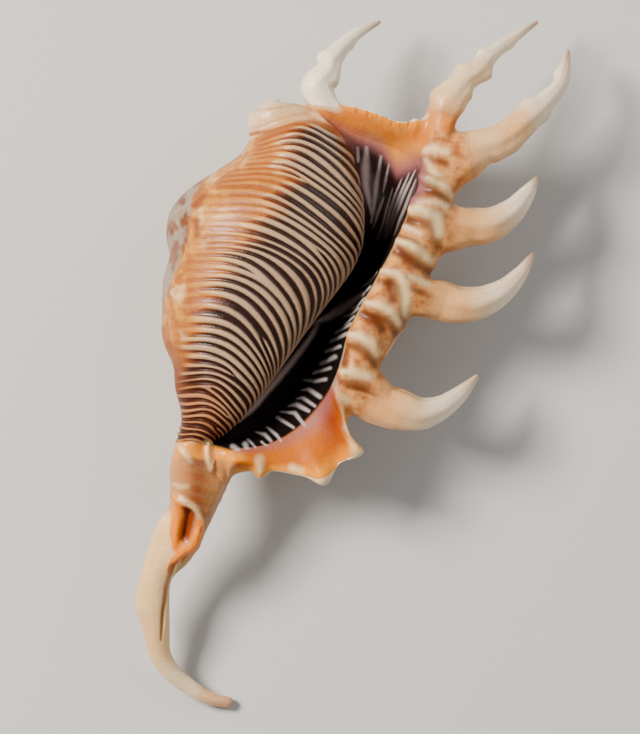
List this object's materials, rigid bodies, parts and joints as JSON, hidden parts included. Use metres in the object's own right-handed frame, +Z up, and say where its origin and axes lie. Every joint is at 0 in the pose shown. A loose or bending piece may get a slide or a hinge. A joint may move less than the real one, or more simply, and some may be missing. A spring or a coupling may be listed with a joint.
{
  "type": "spider conch shell",
  "caption": "Spiny sea-snail shell lying on its back: ridged body whorl, long open mouth, thick folded lip with curved tapering fingers and a long bent canal.",
  "frame": {"origin": "under the middle of the shell's bounding box, on the level it rests on", "axes": "+Z up out of the mouth, +Y towards the spire and the long upper fingers, +X towards the fingered lip; the coil axis leans 13 degrees from +Y towards +X"},
  "size_m": [0.105, 0.1666, 0.0448],
  "materials": {
    "shell_wall": "natural shell, glossy round the mouth, satin on the back"
  },
  "bodies": {
    "root": {"spider_conch_shell": "shell_wall"}
  },
  "joints": []
}
